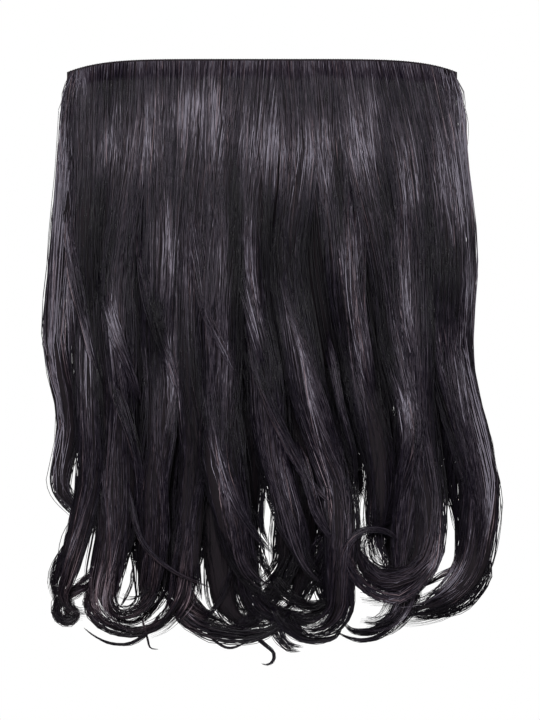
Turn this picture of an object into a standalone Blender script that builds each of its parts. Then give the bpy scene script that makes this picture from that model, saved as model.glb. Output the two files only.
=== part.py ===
"""A hanging hair weft: a sewn track with two rows of wavy hair that end in loose curls.

Metres, +Z up. The weft hangs in the XZ plane with its front facing -Y. The origin is the middle of
the track's top edge, where the weft is sewn, taped or pinned on.
"""
import math

import bmesh
import bpy
import numpy as np

# Driving sizes, in metres
TRACK_LENGTH = 0.274      # sewn edge, end to end
TRACK_HEIGHT = 0.0055     # height of the sewn band
TRACK_THICKNESS = 0.0024  # folded fibre and stitches
RIM_HEIGHT = 0.0016       # stitched rim that shows above the front hair
END_DROOP = 0.0092        # how far the seam falls at its two ends
HAIR_LENGTH = 0.424       # drop from the seam to the lowest curl
SHEET_LENGTH = 0.282      # drop to where the locks part from one another
SHEET_SCALLOP = 0.016     # how far that edge runs down behind each lock and up between them
SHEET_END = 0.0011        # thickness of the sheet of hair at its lower edge
LOCK_WIDTH = 0.0224       # middling lock, across
LOCK_DEPTH = 0.0135       # middling lock, front to back
CURL_RADIUS = 0.028       # middling curl at the ends
ROW_DEPTH = 0.0060        # how far the foremost lock stands off its sheet
CURL_REACH = 0.0035       # how far a curl winds out of its row as it turns
LOCK_START = 0.0007       # how far below its sheet's upper edge the first lock begins
LOCK_STAGGER = 0.0005     # how much lower and further out the next one begins
GAP = 0.0003              # clearance between touching pieces

DROOP_POWER = 6           # keeps the seam level but for its ends
CURL_TIGHTENING = 0.35    # share of its radius that a curl loses by its tip
SWELL_END = 0.6           # share of its length by which a lock has left its sheet
SIDES = 8                 # corners around a lock
FALL_SECTIONS = 12        # rings along a lock above its curl
CURL_SECTIONS = 4         # rings along a straight end, and one more for each CURL_STEP of turn
CURL_STEP = 22            # degrees
CURL_LEAST = 3            # points in the shortest curl
CURVE_SAMPLES = 12        # between two points of a smooth curve
STAGGER_CYCLE = 3         # locks until the stagger starts again
SHEET_COLUMNS = 40
SHEET_ROWS = 9
SHEET_REACH = 0.98        # half width of a row's sheet, as a share of half the track

# A lock falls through these shares of HAIR_LENGTH before its curl
STATIONS = (0.17, 0.33, 0.47, 0.60, 0.70)

# One row for each lock, left to right. root, at_17 ... at_70 and curl_x are hundredths of half the
# track's length from its middle, curl_z is hundredths of HAIR_LENGTH below the seam. lean is the
# heading at the start of the curl and turn is how far it winds, in degrees, positive to the right.
# radius, width and stand are hundredths of CURL_RADIUS, LOCK_WIDTH and ROW_DEPTH.
COLUMNS = ("lock", "root", "at_17", "at_33", "at_47", "at_60", "at_70", "curl_x", "curl_z",
           "lean", "turn", "radius", "width", "stand")
FRONT_LOCKS = (
    ("F1", -88, -89, -91, -89, -88, -88, -100, 86, -34, 150, 58, 85, 60),
    ("F2", -68, -71, -76, -76, -73, -73, -80, 87, -14, 140, 80, 128, 10),
    ("F3", -51, -52, -52, -53, -52, -54, -57, 88, -8, -120, 60, 94, 80),
    ("F4", -33, -35, -39, -39, -34, -36, -40, 88, -20, -50, 190, 95, 30),
    ("F5", -15, -18, -20, -23, -21, -19, -11, 81, 16, 60, 155, 131, 90),
    ("F6", 0, -4, -6, -2, 4, 9, 19, 81, 20, 40, 150, 100, 15),
    ("F7", 15, 18, 13, 19, 29, 39, 42, 89, 0, -150, 85, 104, 70),
    ("F8", 31, 35, 40, 46, 57, 57, 57, 78, -6, 50, 150, 94, 0),
    ("F9", 46, 53, 62, 69, 77, 76, 72, 88, 0, -100, 100, 94, 55),
    ("F10", 63, 73, 78, 78, 81, 84, 84, 80, 0, -265, 95, 98, 90),
    ("F11", 81, 91, 96, 95, 103, 112, 110, 79, -2, -105, 200, 125, 45),
)
BACK_LOCKS = (
    ("B1", -95, -99, -104, -107, -100, -104, -102, 72, 34, 20, 450, 82, 10),
    ("B2", -77, -81, -83, -81, -77, -75, -79, 83, -26, -60, 185, 100, 70),
    ("B3", -57, -61, -65, -64, -62, -60, -59, 89, -6, -160, 65, 100, 15),
    ("B4", -39, -43, -47, -49, -48, -49, -46, 86, 26, 30, 440, 115, 80),
    ("B5", -20, -26, -30, -32, -29, -26, -20, 89, 12, 140, 100, 112, 10),
    ("B6", -3, -7, -11, -13, -9, -9, -10, 88, 8, 70, 130, 106, 60),
    ("B7", 5, 3, 0, 4, 11, 14, 11, 83, -22, -55, 150, 100, 50),
    ("B8", 14, 12, 9, 10, 15, 20, 19, 87, -6, -100, 100, 106, 90),
    ("B9", 33, 31, 29, 29, 31, 34, 38, 86, 8, -150, 85, 112, 40),
    ("B10", 51, 51, 52, 53, 60, 68, 73, 87, 4, -105, 115, 125, 70),
    ("B11", 69, 73, 78, 83, 86, 84, 81, 83, -8, -100, 125, 106, 10),
    ("B12", 92, 93, 98, 97, 104, 109, 105, 81, -4, -100, 200, 145, 50),
)

# A lock's width and depth along its length: share of length, share of width, share of depth
TAPER = (
    (0.00, 1.10, 0.20),
    (0.12, 1.10, 0.45),
    (0.30, 1.10, 0.80),
    (0.60, 1.04, 1.00),
    (0.75, 0.98, 1.00),
    (0.88, 0.78, 0.85),
    (1.00, 0.22, 0.20),
)

HALF_TRACK = TRACK_LENGTH / 2


def seam_drop(x):
    """How far the seam lies below its middle at x: level, then rounded down at the ends."""
    return END_DROOP * np.minimum(np.abs(x) / HALF_TRACK, 1.0) ** DROOP_POWER


def smooth_curve(points, steps):
    """A centripetal Catmull-Rom curve through points, read at steps, which are shares of its length."""
    points = np.vstack([2 * points[0] - points[1], points, 2 * points[-1] - points[-2]])
    pieces = []
    for a, b, c, d in zip(points, points[1:], points[2:], points[3:]):
        knots = np.cumsum([0.0] + [math.sqrt(np.linalg.norm(q - p)) for p, q in ((a, b), (b, c), (c, d))])
        t = np.linspace(knots[1], knots[2], CURVE_SAMPLES, endpoint=False)[:, None]

        def between(p, q, start, end):
            return p + (q - p) * (t - start) / (end - start)

        ab = between(a, b, knots[0], knots[1])
        bc = between(b, c, knots[1], knots[2])
        cd = between(c, d, knots[2], knots[3])
        pieces.append(between(between(ab, bc, knots[0], knots[2]), between(bc, cd, knots[1], knots[3]),
                              knots[1], knots[2]))
    curve = np.vstack(pieces + [points[-2:-1]])
    lengths = np.concatenate([[0.0], np.cumsum(np.linalg.norm(np.diff(curve, axis=0), axis=1))])
    lengths /= lengths[-1]
    return np.column_stack([np.interp(steps, lengths, curve[:, 0]), np.interp(steps, lengths, curve[:, 1])])


def curl_points(start, lock):
    """The curl's points: an arc of shrinking radius that starts at lean and winds through turn."""
    heading = math.radians(lock["lean"])
    turn = math.radians(lock["turn"])
    radius = CURL_RADIUS * lock["radius"] / 100
    count = max(CURL_LEAST, round(abs(lock["turn"]) / CURL_STEP))
    step = turn / count
    points = []
    x, z = start
    for i in range(count):
        arc = radius * (1 - CURL_TIGHTENING * i / count) * abs(step)
        x += arc * math.sin(heading + step / 2)
        z -= arc * math.cos(heading + step / 2)
        heading += step
        points.append((x, z))
    return points


def lock_path(lock, start):
    """A lock's middle line in XZ, from its root, start below the seam, to its tip.

    Its points lie closer together in the curl. Also gives each point's share of the length, and the
    share at which the curl starts.
    """
    root_x = HALF_TRACK * lock["root"] / 100
    fall = [(root_x, -seam_drop(root_x) - start)]
    for share, column in zip(STATIONS, ("at_17", "at_33", "at_47", "at_60", "at_70")):
        fall.append((HALF_TRACK * lock[column] / 100, -HAIR_LENGTH * share))
    fall.append((HALF_TRACK * lock["curl_x"] / 100, -HAIR_LENGTH * lock["curl_z"] / 100))
    curl = curl_points(fall[-1], lock)
    fall_length = sum(math.dist(p, q) for p, q in zip(fall, fall[1:]))
    curl_length = sum(math.dist(p, q) for p, q in zip([fall[-1]] + curl, curl))
    curl_start = fall_length / (fall_length + curl_length)
    curl_count = CURL_SECTIONS + round(abs(lock["turn"]) / CURL_STEP)
    steps = np.concatenate([np.linspace(0.0, curl_start, FALL_SECTIONS, endpoint=False),
                            np.linspace(curl_start, 1.0, curl_count)])
    return smooth_curve(np.array(fall + curl), steps), steps, curl_start


def lock_mesh(lock, start, side, stagger):
    """A lofted lock: upright ellipses across its path, in a closed mesh that starts below the seam.

    side is -1 for the front row and +1 for the back row, and stagger is how far out its root lies.
    """
    path, t, curl_start = lock_path(lock, start)
    along, wide, deep = np.array(TAPER).T
    half_width = LOCK_WIDTH / 2 * lock["width"] / 100 * np.interp(t, along, wide)
    depth = LOCK_DEPTH * np.interp(t, along, deep)
    swell = np.clip(t / SWELL_END, 0, 1)
    swell = swell * swell * (3 - 2 * swell)
    curl = np.clip((t - curl_start) / (1 - curl_start), 0, 1)
    stand = ROW_DEPTH * lock["stand"] / 100 * swell + CURL_REACH * curl + GAP + stagger
    middle_y = side * (stand + depth / 2)

    heading = np.gradient(path, axis=0)
    heading /= np.linalg.norm(heading, axis=1)[:, None]
    across = np.column_stack([-heading[:, 1], heading[:, 0]])

    bm = bmesh.new()
    rings = []
    for i in range(len(path)):
        ring = []
        for k in range(SIDES):
            angle = 2 * math.pi * (k + 0.5) / SIDES
            x, z = path[i] + across[i] * half_width[i] * math.cos(angle)
            z = min(z, -seam_drop(x) - start)
            ring.append(bm.verts.new((x, middle_y[i] + depth[i] / 2 * math.sin(angle), z)))
        rings.append(ring)
    for upper, lower in zip(rings, rings[1:]):
        for k in range(SIDES):
            bm.faces.new((upper[k], upper[(k + 1) % SIDES], lower[(k + 1) % SIDES], lower[k]))
    bm.faces.new(rings[0])
    bm.faces.new(rings[-1])
    return finish_mesh(bm, "lock_" + lock["lock"])


def sheet_mesh(name, top, side, header, lock_pitch):
    """The sheet that a row's locks lie on: it follows the seam and thins towards its scalloped edge."""
    bm = bmesh.new()
    half = HALF_TRACK * SHEET_REACH
    flat, raised = [], []
    for j in range(SHEET_ROWS + 1):
        down = j / SHEET_ROWS
        thickness = header + (SHEET_END - header) * down
        flat_row, raised_row = [], []
        for i in range(SHEET_COLUMNS + 1):
            x = half * (2 * i / SHEET_COLUMNS - 1)
            start = -seam_drop(x) - top
            end = -SHEET_LENGTH + SHEET_SCALLOP * math.cos(2 * math.pi * x / lock_pitch)
            z = start + (end - start) * down
            flat_row.append(bm.verts.new((x, 0.0, z)))
            raised_row.append(bm.verts.new((x, side * thickness, z)))
        flat.append(flat_row)
        raised.append(raised_row)
    for rows in (flat, raised):
        for upper, lower in zip(rows, rows[1:]):
            for i in range(SHEET_COLUMNS):
                bm.faces.new((upper[i], upper[i + 1], lower[i + 1], lower[i]))
    rim = (flat[0] + [row[-1] for row in flat[1:]] + flat[-1][-2::-1] + [row[0] for row in flat[-2:0:-1]])
    lip = (raised[0] + [row[-1] for row in raised[1:]] + raised[-1][-2::-1]
           + [row[0] for row in raised[-2:0:-1]])
    for k in range(len(rim)):
        n = (k + 1) % len(rim)
        bm.faces.new((rim[k], rim[n], lip[n], lip[k]))
    return finish_mesh(bm, name)


def finish_mesh(bm, name):
    """Turns a bmesh's faces outwards and hands it over as a mesh."""
    bmesh.ops.recalc_face_normals(bm, faces=bm.faces)
    mesh = bpy.data.meshes.new(name)
    bm.to_mesh(mesh)
    bm.free()
    mesh.shade_smooth()
    return mesh


def material(name, colour, roughness):
    """A Principled material in one colour."""
    made = bpy.data.materials.new(name)
    made.use_nodes = True
    shader = made.node_tree.nodes["Principled BSDF"]
    shader.inputs["Base Color"].default_value = (*colour, 1.0)
    shader.inputs["Roughness"].default_value = roughness
    shader.inputs["Metallic"].default_value = 0.0
    return made


def add_object(name, mesh, collection, finish=None):
    """Puts a mesh into the scene as an object."""
    obj = bpy.data.objects.new(name, mesh)
    collection.objects.link(obj)
    if finish:
        mesh.materials.append(finish)
    return obj


def add_track(collection, finish):
    """The sewn band: an outline along the seam and back, extruded to the track's thickness."""
    outline = bpy.data.curves.new("weft_track", "CURVE")
    outline.dimensions = "2D"
    outline.fill_mode = "BOTH"
    outline.extrude = TRACK_THICKNESS / 2
    xs = np.linspace(-HALF_TRACK, HALF_TRACK, SHEET_COLUMNS + 1)
    top = [(x, -seam_drop(x)) for x in xs]
    points = top + [(x, z - TRACK_HEIGHT) for x, z in reversed(top)]
    spline = outline.splines.new("POLY")
    spline.points.add(len(points) - 1)
    for point, (x, z) in zip(spline.points, points):
        point.co = (x, z, 0.0, 1.0)
    spline.use_cyclic_u = True
    track = bpy.data.objects.new("weft_track", outline)
    track.rotation_euler = (math.pi / 2, 0.0, 0.0)
    collection.objects.link(track)
    outline.materials.append(finish)
    return track


def add_row(name, locks, top, side, y, header, parts, guides, finish):
    """One row of hair: its sheet with every lock joined on, and its flat side in the plane y."""
    lock_pitch = TRACK_LENGTH / len(locks)
    row = add_object(name, sheet_mesh(name, top, side, header, lock_pitch), parts, finish)
    row.location.y = y
    for i, values in enumerate(locks):
        lock = dict(zip(COLUMNS, values))
        stagger = LOCK_STAGGER * (i % STAGGER_CYCLE)
        start = top + LOCK_START + stagger
        guide = add_object("guide_" + lock["lock"], lock_mesh(lock, start, side, stagger), guides)
        guide.location.y = y
        guide.hide_render = True
        guide.display_type = "WIRE"
        join = row.modifiers.new("join_" + lock["lock"], "BOOLEAN")
        join.operation = "UNION"
        join.solver = "MANIFOLD"
        join.object = guide
    return row


def build():
    for old in list(bpy.data.objects):
        bpy.data.objects.remove(old, do_unlink=True)
    parts = bpy.data.collections.new("hair_weft")
    guides = bpy.data.collections.new("lock_guides")
    for collection in (parts, guides):
        bpy.context.scene.collection.children.link(collection)

    hair = material("dark_fibre", (0.022, 0.018, 0.021), 0.42)
    thread = material("sewn_track", (0.012, 0.010, 0.012), 0.75)

    add_track(parts, thread)
    track_front = -TRACK_THICKNESS / 2
    add_row("front_row", FRONT_LOCKS, RIM_HEIGHT, -1, track_front - GAP, TRACK_THICKNESS,
            parts, guides, hair)
    add_row("back_row", BACK_LOCKS, TRACK_HEIGHT + GAP, 1, track_front, TRACK_THICKNESS,
            parts, guides, hair)


build()
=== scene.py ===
# Looks of a hanging hair weft: dark wavy fibre in locks, sewn to a narrow track.
# Metres, +Z up. The hair faces -Y and hangs from the track's upper edge at the origin.
import bpy
import math
import numpy as np
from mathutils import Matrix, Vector


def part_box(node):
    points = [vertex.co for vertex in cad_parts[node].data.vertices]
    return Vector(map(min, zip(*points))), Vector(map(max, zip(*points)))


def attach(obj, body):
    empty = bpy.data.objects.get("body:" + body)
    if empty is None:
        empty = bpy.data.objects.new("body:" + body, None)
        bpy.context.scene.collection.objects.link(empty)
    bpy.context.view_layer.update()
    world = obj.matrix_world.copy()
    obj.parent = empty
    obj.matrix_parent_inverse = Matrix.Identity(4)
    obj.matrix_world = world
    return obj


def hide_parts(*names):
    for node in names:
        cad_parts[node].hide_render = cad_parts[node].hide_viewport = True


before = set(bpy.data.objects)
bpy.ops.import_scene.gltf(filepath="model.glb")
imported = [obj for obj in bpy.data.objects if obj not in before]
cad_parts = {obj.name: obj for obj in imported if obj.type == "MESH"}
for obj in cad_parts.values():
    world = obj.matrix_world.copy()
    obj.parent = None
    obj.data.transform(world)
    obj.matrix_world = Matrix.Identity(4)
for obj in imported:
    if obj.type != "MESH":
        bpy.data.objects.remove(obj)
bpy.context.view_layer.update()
print("frame loaded:", sorted(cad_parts))

trackLow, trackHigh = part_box("weft_track")
mm = 0.001
halfTrack = (trackHigh.x - trackLow.x) / 2
trackFront = trackLow.y
trackBack = trackHigh.y

# The form of the locks, as in the solids that they replace
form = {
    "hairLength": 424 * mm,  # drop from the seam to the lowest curl
    "lockWidth": 22.4 * mm,
    "lockDepth": 13.5 * mm,
    "curlRadius": 28 * mm,
    "rowDepth": 6 * mm,  # how far the foremost lock stands off its sheet
    "curlReach": 3.5 * mm,  # how far a curl winds out of its row
    "endDroop": 9.2 * mm,  # fall of the seam at its two ends
    "droopPower": 6,
    "tightening": 0.35,  # share of its radius that a curl loses by its tip
    "swellEnd": 0.6,  # share of its length by which a lock has left its sheet
    "rimHeight": 1.6 * mm,  # stitched rim that shows above the front hair
    "trackHeight": 5.5 * mm,
    "stagger": 0.5 * mm,  # neighbours' roots lie this much apart, in threes
    "gap": 0.3 * mm,
    "samples": 220,  # points along a lock's middle line
    "between": 24,  # points worked out between two given ones before that
    "arcStep": 22,  # degrees from one given point of a curl to the next
    "phaseStep": 2.4,  # radians between the waves of neighbouring locks
    "middlingWidth": 105,  # hundredths of width at which a lock has its full count of strands
}

# Shares of the hair's length at which a lock's place is given before its curl
stations = {"at17": 0.17, "at33": 0.33, "at47": 0.47, "at60": 0.60, "at70": 0.70}

# One row for each lock, left to right: hundredths of half the track, of the hair's length, degrees
# for lean and turn, then hundredths of the middling curl, width and standing out.
lockColumns = ("lock", "root", *stations, "curlX", "curlZ", "lean", "turn", "radius", "width", "stand")
frontLocks = (
    ("F1", -88, -89, -91, -89, -88, -88, -100, 86, -34, 150, 58, 85, 60),
    ("F2", -68, -71, -76, -76, -73, -73, -80, 87, -14, 140, 80, 128, 10),
    ("F3", -51, -52, -52, -53, -52, -54, -57, 88, -8, -120, 60, 94, 80),
    ("F4", -33, -35, -39, -39, -34, -36, -40, 88, -20, -50, 190, 95, 30),
    ("F5", -15, -18, -20, -23, -21, -19, -11, 81, 16, 60, 155, 131, 90),
    ("F6", 0, -4, -6, -2, 4, 9, 19, 81, 20, 40, 150, 100, 15),
    ("F7", 15, 18, 13, 19, 29, 38, 41, 89, 0, -150, 85, 104, 70),
    ("F8", 31, 35, 40, 46, 57, 60, 60, 78, -6, 50, 150, 94, 0),
    ("F9", 46, 53, 62, 69, 77, 76, 72, 88, 0, -100, 100, 94, 55),
    ("F10", 63, 73, 78, 78, 81, 84, 84, 80, 0, -265, 95, 98, 90),
    ("F11", 81, 91, 96, 95, 103, 112, 110, 79, -2, -105, 200, 125, 45),
)
backLocks = (
    ("B1", -95, -99, -104, -107, -100, -104, -102, 72, 34, 20, 450, 82, 10),
    ("B2", -77, -81, -83, -81, -77, -75, -79, 83, -26, -60, 185, 100, 70),
    ("B3", -57, -61, -65, -64, -62, -60, -59, 89, -6, -160, 65, 100, 15),
    ("B4", -39, -43, -47, -49, -48, -49, -46, 86, 26, 30, 440, 115, 80),
    ("B5", -20, -26, -30, -32, -29, -26, -20, 89, 12, 140, 100, 112, 10),
    ("B6", -3, -7, -11, -13, -9, -9, -10, 88, 8, 70, 130, 106, 60),
    ("B7", 5, 3, 0, 4, 11, 14, 11, 83, -22, -55, 150, 100, 50),
    ("B8", 14, 12, 9, 10, 15, 20, 19, 87, -6, -100, 100, 106, 90),
    ("B9", 33, 31, 29, 29, 31, 34, 38, 86, 8, -150, 85, 112, 40),
    ("B10", 51, 51, 52, 53, 60, 68, 73, 87, 4, -105, 115, 125, 70),
    ("B11", 69, 73, 78, 83, 86, 84, 81, 83, -8, -100, 125, 106, 10),
    ("B12", 92, 93, 98, 97, 104, 109, 109, 81, -4, -100, 200, 112, 50),
)

# Share of length, share of width, share of depth
taper = np.array((
    (0.00, 1.10, 0.20),
    (0.12, 1.10, 0.45),
    (0.30, 1.10, 0.80),
    (0.60, 1.04, 1.00),
    (0.75, 0.98, 1.00),
    (0.88, 0.78, 0.85),
    (1.00, 0.22, 0.20),
))


def seamDrop(x):
    # endDroop times (|x| / half the track) to the droopPower
    return form["endDroop"] * np.minimum(np.abs(x) / halfTrack, 1.0) ** form["droopPower"]


def smoothStep(x, low=0.0, high=1.0):
    # 3s^2 - 2s^3, with s running from 0 at low to 1 at high
    s = np.clip((x - low) / (high - low), 0, 1)
    return s * s * (3 - 2 * s)


def runAlong(points):
    # Distance from the first point, summed over the straight steps
    return np.concatenate([[0], np.cumsum(np.linalg.norm(np.diff(points, axis=0), axis=1))])


def middleLine(points):
    # Centripetal Catmull-Rom: each stretch blends three straight lines by knots spaced as the root of
    # the distance. Read at equal steps t of its length, with its across: the unit vector square to it
    # in the XZ plane.
    points = np.vstack([2 * points[0] - points[1], points, 2 * points[-1] - points[-2]])
    a, b, c, d = (points[i:len(points) - 3 + i, None] for i in range(4))
    k1 = np.sqrt(np.linalg.norm(b - a, axis=2, keepdims=True))
    k2 = k1 + np.sqrt(np.linalg.norm(c - b, axis=2, keepdims=True))
    k3 = k2 + np.sqrt(np.linalg.norm(d - c, axis=2, keepdims=True))
    t = k1 + (k2 - k1) * np.linspace(0, 1, form["between"], endpoint=False)[None, :, None]
    ab = a + (b - a) * t / k1
    bc = b + (c - b) * (t - k1) / (k2 - k1)
    cd = c + (d - c) * (t - k2) / (k3 - k2)
    abc = ab + (bc - ab) * t / k2
    bcd = bc + (cd - bc) * (t - k1) / (k3 - k1)
    curve = (abc + (bcd - abc) * (t - k1) / (k2 - k1)).reshape(-1, 2)
    curve = np.vstack([curve, points[-2]])
    run = runAlong(curve)
    steps = np.linspace(0, run[-1], form["samples"])
    line = np.column_stack([np.interp(steps, run, curve[:, i]) for i in (0, 1)])
    heading = np.gradient(line, axis=0)
    heading /= np.linalg.norm(heading, axis=1)[:, None]
    return {"t": np.linspace(0, 1, form["samples"]), "x": line[:, 0], "z": line[:, 1],
            "acrossX": -heading[:, 1], "acrossZ": heading[:, 0]}


def along(line, key, t):
    # A line's value at the shares t of its length
    return np.interp(t, line["t"], line[key])


def beside(line, t, offset):
    # x and z of the line at t, moved by offset along its across
    return (along(line, "x", t) + along(line, "acrossX", t) * offset,
            along(line, "z", t) + along(line, "acrossZ", t) * offset)


def arcPoints(start, lean, turn, radius):
    # Steps of radius times angle, the radius shrinking evenly, the heading turning at each step
    count = max(3, round(abs(turn) / form["arcStep"]))
    step = math.radians(turn) / count
    i = np.arange(count)
    heading = math.radians(lean) + step * (i + 0.5)
    arc = radius * (1 - form["tightening"] * i / count) * abs(step)
    x = start[0] + np.cumsum(arc * np.sin(heading))
    z = start[1] - np.cumsum(arc * np.cos(heading))
    return np.column_stack([x, z])


def lockLine(values, index, side, edge):
    # A lock's middle line, half width and half depth, as arrays over its length
    lock = dict(zip(lockColumns, values))
    start = form["rimHeight"] if side < 0 else form["trackHeight"] + form["gap"]
    rootX = halfTrack * lock["root"] / 100
    fall = [(rootX, -seamDrop(rootX) - start)]
    for column, share in stations.items():
        fall.append((halfTrack * lock[column] / 100, -form["hairLength"] * share))
    fall.append((halfTrack * lock["curlX"] / 100, -form["hairLength"] * lock["curlZ"] / 100))
    curl = arcPoints(fall[-1], lock["lean"], lock["turn"], form["curlRadius"] * lock["radius"] / 100)
    given = np.vstack([fall, curl])
    run = runAlong(given)
    curlStart = run[len(fall) - 1] / run[-1]
    line = middleLine(given)
    t = line["t"]
    halfWidth = form["lockWidth"] / 2 * lock["width"] / 100 * np.interp(t, taper[:, 0], taper[:, 1])
    halfDepth = form["lockDepth"] / 2 * np.interp(t, taper[:, 0], taper[:, 2])
    swell = smoothStep(t, 0, form["swellEnd"])
    curlShare = np.clip((t - curlStart) / (1 - curlStart), 0, 1)
    stagger = form["stagger"] * (index % 3)
    stand = form["rowDepth"] * lock["stand"] / 100 * swell + form["curlReach"] * curlShare
    base = trackFront - form["gap"] if side < 0 else trackFront
    return {
        **line, "side": side, "edge": edge, "start": start, "curlStart": curlStart,
        "y": base + side * (form["gap"] + stagger + stand + halfDepth),
        "halfWidth": halfWidth, "halfDepth": halfDepth,
        "phase": index * form["phaseStep"], "share": lock["width"] / form["middlingWidth"],
    }


def rowLines(locks, side):
    # The first and last locks are edges, -1 or 1 being the side of their across that is outside
    last = len(locks) - 1
    return [lockLine(values, i, side, {0: -1, last: 1}.get(i, 0)) for i, values in enumerate(locks)]


frontLines = rowLines(frontLocks, -1)
backLines = rowLines(backLocks, 1)
print("lock lines:", len(frontLines), "front,", len(backLines), "back")

# Each lock sways out and in once over this share of its length, at a phase of its own. It starts to
# sway between two shares of its length.
wave = {"height": 2.6 * mm, "length": 0.34, "grows": (0.08, 0.4)}

# Painted highlights where the hair leans out and would shine, and painted shade where it sinks between
# locks. One row for each soft streak: its place across at its top and at its bottom, its half width,
# its top and bottom below the seam, all in millimetres, and how strong it is, with painted shade under
# zero.
paintedStreaks = np.array((
    (-139, -145, 6, 6, 180, 0.6), (-149, -146, 8, 130, 280, 0.7), (-137, -137, 5, 140, 206, 1.0),
    (-146, -143, 6, 225, 310, 2.0), (-127, -127, 8, 2, 28, 0.8), (-105, -108, 11, 34, 80, 0.9),
    (-78, -80, 9, 18, 84, 0.8), (-52, -52, 12, 11, 68, 1.0), (-34, -30, 9, 10, 76, 0.8),
    (-12, 0, 11, 24, 98, 0.6), (9, 22, 11, 34, 102, 0.5), (31, 45, 12, 38, 110, 0.7),
    (77, 65, 10, 14, 96, 1.0), (100, 102, 6, 40, 120, 0.7), (130, 130, 9, 20, 90, 0.4),
    (140, 148, 6, -6, 130, 1.7), (134, 136, 4, 80, 116, 0.9), (147, 150, 5, 126, 196, 1.6),
    (-72, -50, 11, 76, 204, 0.8), (-40, -28, 7, 86, 184, 0.8), (-107, -100, 6, 155, 218, 0.9),
    (-66, -60, 5, 184, 262, 0.9), (-34, -18, 5, 178, 248, 0.5), (12, 42, 6, 152, 268, 1.0),
    (57, 72, 8, 100, 245, 0.9), (93, 102, 7, 110, 214, 0.8), (98, 101, 6, 222, 270, 0.9),
    (148, 166, 6, 190, 370, 1.1), (-42, -20, 6, 254, 330, 0.7), (0, 34, 6, 250, 338, 0.4),
    (27, 58, 6, 254, 338, 0.7), (-136, -126, 9, 308, 398, 0.5), (-112, -116, 7, 345, 405, 0.8),
    (-56, -44, 8, 360, 405, 0.8), (-100, -60, 7, 385, 410, 0.5), (118, 140, 9, 334, 384, 1.6),
    (85, 100, 8, 360, 400, 0.8), (-22, -13, 4.5, 40, 248, -1.5), (55, 52, 3, 24, 154, -1.2),
    (53, 63, 4, 144, 244, -1.0), (86, 84, 4, 74, 164, -1.0), (85, 84, 5, 150, 300, -1.2),
    (-75, -73, 5, 156, 232, -1.2), (-120, -115, 8, 80, 196, -0.7), (-119, -108, 5, 160, 266, -0.9),
    (3, 9, 7, 90, 170, -1.0), (27, 44, 7, 98, 178, -0.9), (114, 118, 4, 46, 134, -0.7),
    (125, 135, 11, 118, 196, -0.8), (-47, -43, 5, 222, 316, -1.0), (-89, -85, 5, 206, 294, -0.6),
    (60, 82, 10, 236, 334, -0.7), (-12, 0, 5, 258, 316, -0.8), (12, 34, 14, 340, 400, -1.2),
    (-136, -141, 7, 22, 240, 0.45), (-64, -60, 12, 8, 28, -0.45), (-20, 0, 16, 8, 30, -0.3),
    (90, 100, 18, 8, 34, -0.3), (-106, -104, 16, 6, 38, -0.6), (86, 86, 5, 58, 100, -0.5),
    (40, 40, 5, 74, 104, -0.5), (140, 143, 6, 128, 230, 0.4), (-85, -86, 7, 200, 262, 0.5),
    (-122, -124, 6, 206, 264, 0.4), (127, 128, 7, 0, 20, 1.0), (-122, -120, 6, 168, 244, 0.8),
    (-110, -108, 7, 48, 215, -0.5), (-72, -71, 6, 60, 112, -0.6), (-60, -56, 6, 56, 270, -0.4),
    (-34, -34, 6, 88, 180, -0.6), (-9, -9, 6, 56, 88, -0.6), (-13, -1, 5, 98, 232, 0.6),
    (-50, -44, 5, 184, 264, -0.7), (-29, -24, 5, 84, 170, 0.25), (4, 5, 7, 28, 66, 0.7),
    (5, 5, 6, 180, 246, -0.7), (18, 31, 7, 104, 240, -0.6), (54, 54, 8, 28, 80, 0.7),
    (66, 66, 6, 124, 212, -0.6), (92, 93, 7, 122, 184, -0.7), (114, 120, 12, 60, 110, 0.5),
    (132, 140, 8, 78, 128, 0.6), (136, 146, 9, 190, 262, 0.6), (-23, -20, 7, 248, 302, -0.7),
    (58, 64, 7, 322, 356, 0.3), (-98, -122, 7, 352, 398, 0.6),
))


def paintedStreakLight(x, drop):
    # Painted highlights and painted shade, summed streak by streak
    # Sum over the streaks of strength * exp(-(away / halfWidth)^2) * sin(pi s)^1.4, with s running
    # from 0 at the streak's top to 1 at its bottom, and away the distance from its slanting middle
    total = np.zeros_like(x)
    for xTop, xBottom, halfWidth, top, bottom, strength in paintedStreaks * (mm, mm, mm, mm, mm, 1):
        s = np.clip((drop - top) / (bottom - top), 0, 1)
        away = x - xTop - (xBottom - xTop) * s
        total += strength * np.exp(-(away / halfWidth) ** 2) * np.sin(math.pi * s) ** 1.4
    return total


def newMesh(name, points, faces, material, uv=None, attributes=None):
    # points (n, 3), faces (m, 3 or 4) whose -1 entries mean a triangle, uv one pair for each corner
    mesh = bpy.data.meshes.new(name)
    keep = faces >= 0
    sizes = keep.sum(axis=1)
    starts = np.concatenate([[0], np.cumsum(sizes)[:-1]])
    mesh.vertices.add(len(points))
    mesh.vertices.foreach_set("co", points.astype(np.float32).ravel())
    mesh.loops.add(int(sizes.sum()))
    mesh.loops.foreach_set("vertex_index", faces[keep].astype(np.int32))
    mesh.polygons.add(len(faces))
    mesh.polygons.foreach_set("loop_start", starts.astype(np.int32))
    mesh.polygons.foreach_set("use_smooth", np.ones(len(faces), dtype=bool))
    if uv is not None:
        bakeMap = mesh.uv_layers.new(name="OFBake")
        bakeMap.data.foreach_set("uv", uv[keep].astype(np.float32).ravel())
    for key, values in (attributes or {}).items():
        attribute = mesh.attributes.new(key, "FLOAT", "POINT")
        attribute.data.foreach_set("value", values.astype(np.float32).ravel())
    mesh.materials.append(material)
    mesh.update(calc_edges=True)
    piece = bpy.data.objects.new(name, mesh)
    bpy.context.scene.collection.objects.link(piece)
    return piece


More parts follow.
